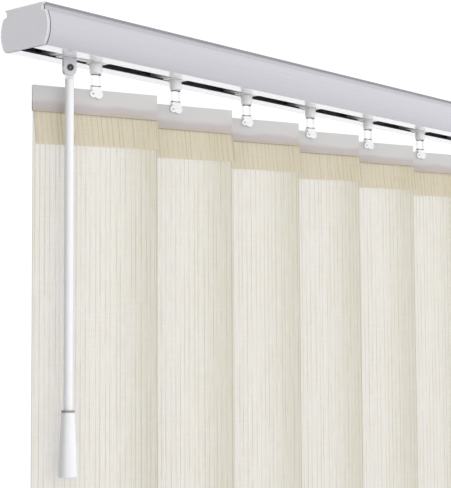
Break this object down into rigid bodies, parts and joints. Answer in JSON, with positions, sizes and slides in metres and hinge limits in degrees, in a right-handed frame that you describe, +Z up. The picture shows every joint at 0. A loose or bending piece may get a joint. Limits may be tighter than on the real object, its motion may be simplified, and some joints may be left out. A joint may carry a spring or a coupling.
{
  "type": "vertical blind",
  "caption": "Vertical blind: slotted headrail with sliding carriers, hooks and sheer fabric vanes that turn and draw aside by a hanging wand.",
  "frame": {"origin": "middle of the headrail's top face, where it meets the ceiling or its clips", "axes": "+X along the rail to the right seen from the room, -Y to the room, +Z up"},
  "size_m": [0.591, 0.0454, 0.914],
  "materials": {
    "rail_paint": "white gloss stove paint on extruded aluminium",
    "cap_plastic": "moulded light grey",
    "rod_metal": "dark anodised",
    "inner_plastic": "natural white moulding",
    "gear_plastic": "natural white moulding",
    "spacer_steel": "plain strip",
    "hook_plastic": "clear to frosted moulding",
    "hanger_plastic": "frosted translucent strip",
    "vane_cloth": "sheer cream weave with slubs",
    "weight_plate": "coated steel plate",
    "yoke_plastic": "moulded light grey",
    "pin_metal": "blackened rivet",
    "wand_plastic": "gloss white"
  },
  "bodies": {
    "rail": {"headrail": "rail_paint", "end_cap_left": "cap_plastic", "end_cap_right": "cap_plastic", "end_stop": "inner_plastic", "carrier_7": "inner_plastic", "spacer_6": "spacer_steel"},
    "lead": {"lead_carriage": "inner_plastic", "lead_link": "inner_plastic", "carrier_1": "inner_plastic"},
    "run_2": {"carrier_2": "inner_plastic", "spacer_1": "spacer_steel"},
    "run_3": {"carrier_3": "inner_plastic", "spacer_2": "spacer_steel"},
    "run_4": {"carrier_4": "inner_plastic", "spacer_3": "spacer_steel"},
    "run_5": {"carrier_5": "inner_plastic", "spacer_4": "spacer_steel"},
    "run_6": {"carrier_6": "inner_plastic", "spacer_5": "spacer_steel"},
    "rod": {"tilt_rod": "rod_metal"},
    "drive": {"drive_gear": "gear_plastic"},
    "yoke": {"wand_yoke": "yoke_plastic", "wand_pin": "pin_metal"},
    "wand": {"wand_rod": "wand_plastic", "wand_grip": "wand_plastic"},
    "spin_1": {"worm_1": "gear_plastic"},
    "hung_1": {"hook_1": "hook_plastic", "hanger_1": "hanger_plastic", "vane_1": "vane_cloth", "weight_1": "weight_plate"},
    "spin_2": {"worm_2": "gear_plastic"},
    "hung_2": {"hook_2": "hook_plastic", "hanger_2": "hanger_plastic", "vane_2": "vane_cloth", "weight_2": "weight_plate"},
    "spin_3": {"worm_3": "gear_plastic"},
    "hung_3": {"hook_3": "hook_plastic", "hanger_3": "hanger_plastic", "vane_3": "vane_cloth", "weight_3": "weight_plate"},
    "spin_4": {"worm_4": "gear_plastic"},
    "hung_4": {"hook_4": "hook_plastic", "hanger_4": "hanger_plastic", "vane_4": "vane_cloth", "weight_4": "weight_plate"},
    "spin_5": {"worm_5": "gear_plastic"},
    "hung_5": {"hook_5": "hook_plastic", "hanger_5": "hanger_plastic", "vane_5": "vane_cloth", "weight_5": "weight_plate"},
    "spin_6": {"worm_6": "gear_plastic"},
    "hung_6": {"hook_6": "hook_plastic", "hanger_6": "hanger_plastic", "vane_6": "vane_cloth", "weight_6": "weight_plate"},
    "spin_7": {"worm_7": "gear_plastic"},
    "hung_7": {"hook_7": "hook_plastic", "hanger_7": "hanger_plastic", "vane_7": "vane_cloth", "weight_7": "weight_plate"}
  },
  "joints": [
    {"name": "traverse", "type": "slide", "parent": "rail", "child": "lead", "axis": [1, 0, 0], "range_m": [0, 0.333]},
    {"name": "follow_2", "type": "slide", "parent": "rail", "child": "run_2", "axis": [1, 0, 0], "range_m": [0, 0.278]},
    {"name": "follow_3", "type": "slide", "parent": "rail", "child": "run_3", "axis": [1, 0, 0], "range_m": [0, 0.2225]},
    {"name": "follow_4", "type": "slide", "parent": "rail", "child": "run_4", "axis": [1, 0, 0], "range_m": [0, 0.167]},
    {"name": "follow_5", "type": "slide", "parent": "rail", "child": "run_5", "axis": [1, 0, 0], "range_m": [0, 0.1115]},
    {"name": "follow_6", "type": "slide", "parent": "rail", "child": "run_6", "axis": [1, 0, 0], "range_m": [0, 0.056]},
    {"name": "tilt_1", "type": "hinge", "parent": "lead", "child": "hung_1", "pos_m": [-0.2325, 0, 0], "axis": [0, 0, -1], "range_deg": [-4, 135]},
    {"name": "tilt_2", "type": "hinge", "parent": "run_2", "child": "hung_2", "pos_m": [-0.155, 0, 0], "axis": [0, 0, -1], "range_deg": [-5, 136]},
    {"name": "tilt_3", "type": "hinge", "parent": "run_3", "child": "hung_3", "pos_m": [-0.0775, 0, 0], "axis": [0, 0, -1], "range_deg": [-5, 136]},
    {"name": "tilt_4", "type": "hinge", "parent": "run_4", "child": "hung_4", "pos_m": [0, 0, 0], "axis": [0, 0, -1], "range_deg": [-5, 136]},
    {"name": "tilt_5", "type": "hinge", "parent": "run_5", "child": "hung_5", "pos_m": [0.0775, 0, 0], "axis": [0, 0, -1], "range_deg": [-5, 136]},
    {"name": "tilt_6", "type": "hinge", "parent": "run_6", "child": "hung_6", "pos_m": [0.155, 0, 0], "axis": [0, 0, -1], "range_deg": [-5, 136]},
    {"name": "tilt_7", "type": "hinge", "parent": "rail", "child": "hung_7", "pos_m": [0.2325, 0, 0], "axis": [0, 0, -1], "range_deg": [-5, 136]},
    {"name": "rod_turn", "type": "hinge", "parent": "rail", "child": "rod", "pos_m": [0, 0.0095, -0.016], "axis": [1, 0, 0], "range_deg": [-40, 1088]},
    {"name": "worm_turn_1", "type": "hinge", "parent": "lead", "child": "spin_1", "pos_m": [-0.2325, 0.0095, -0.016], "axis": [1, 0, 0], "range_deg": [-40, 1088]},
    {"name": "worm_turn_2", "type": "hinge", "parent": "run_2", "child": "spin_2", "pos_m": [-0.155, 0.0095, -0.016], "axis": [1, 0, 0], "range_deg": [-40, 1088]},
    {"name": "worm_turn_3", "type": "hinge", "parent": "run_3", "child": "spin_3", "pos_m": [-0.0775, 0.0095, -0.016], "axis": [1, 0, 0], "range_deg": [-40, 1088]},
    {"name": "worm_turn_4", "type": "hinge", "parent": "run_4", "child": "spin_4", "pos_m": [0, 0.0095, -0.016], "axis": [1, 0, 0], "range_deg": [-40, 1088]},
    {"name": "worm_turn_5", "type": "hinge", "parent": "run_5", "child": "spin_5", "pos_m": [0.0775, 0.0095, -0.016], "axis": [1, 0, 0], "range_deg": [-40, 1088]},
    {"name": "worm_turn_6", "type": "hinge", "parent": "run_6", "child": "spin_6", "pos_m": [0.155, 0.0095, -0.016], "axis": [1, 0, 0], "range_deg": [-40, 1088]},
    {"name": "worm_turn_7", "type": "hinge", "parent": "rail", "child": "spin_7", "pos_m": [0.2325, 0.0095, -0.016], "axis": [1, 0, 0], "range_deg": [-40, 1088]},
    {"name": "drive_turn", "type": "hinge", "parent": "lead", "child": "drive", "pos_m": [-0.2563, 0.0095, -0.016], "axis": [1, 0, 0], "range_deg": [-40, 1088]},
    {"name": "wand_turn", "type": "hinge", "parent": "lead", "child": "yoke", "pos_m": [-0.2563, 0, -0.034], "axis": [0, 0, -1], "range_deg": [-40, 1088]},
    {"name": "wand_swing", "type": "hinge", "parent": "yoke", "child": "wand", "pos_m": [-0.2563, 0, -0.034], "axis": [0.4695, 0.8829, 0], "range_deg": [0, 60]}
  ],
  "couplings": [
    {"joint": "follow_2", "follows": "traverse", "ratio": 0.83333},
    {"joint": "follow_3", "follows": "traverse", "ratio": 0.66667},
    {"joint": "follow_4", "follows": "traverse", "ratio": 0.5},
    {"joint": "follow_5", "follows": "traverse", "ratio": 0.33333},
    {"joint": "follow_6", "follows": "traverse", "ratio": 0.16667},
    {"joint": "tilt_2", "follows": "tilt_1", "ratio": 1},
    {"joint": "tilt_3", "follows": "tilt_1", "ratio": 1},
    {"joint": "tilt_4", "follows": "tilt_1", "ratio": 1},
    {"joint": "tilt_5", "follows": "tilt_1", "ratio": 1},
    {"joint": "tilt_6", "follows": "tilt_1", "ratio": 1},
    {"joint": "tilt_7", "follows": "tilt_1", "ratio": 1},
    {"joint": "rod_turn", "follows": "tilt_1", "ratio": 8},
    {"joint": "worm_turn_1", "follows": "tilt_1", "ratio": 8},
    {"joint": "worm_turn_2", "follows": "tilt_1", "ratio": 8},
    {"joint": "worm_turn_3", "follows": "tilt_1", "ratio": 8},
    {"joint": "worm_turn_4", "follows": "tilt_1", "ratio": 8},
    {"joint": "worm_turn_5", "follows": "tilt_1", "ratio": 8},
    {"joint": "worm_turn_6", "follows": "tilt_1", "ratio": 8},
    {"joint": "worm_turn_7", "follows": "tilt_1", "ratio": 8},
    {"joint": "drive_turn", "follows": "tilt_1", "ratio": 8},
    {"joint": "wand_turn", "follows": "tilt_1", "ratio": 8}
  ]
}
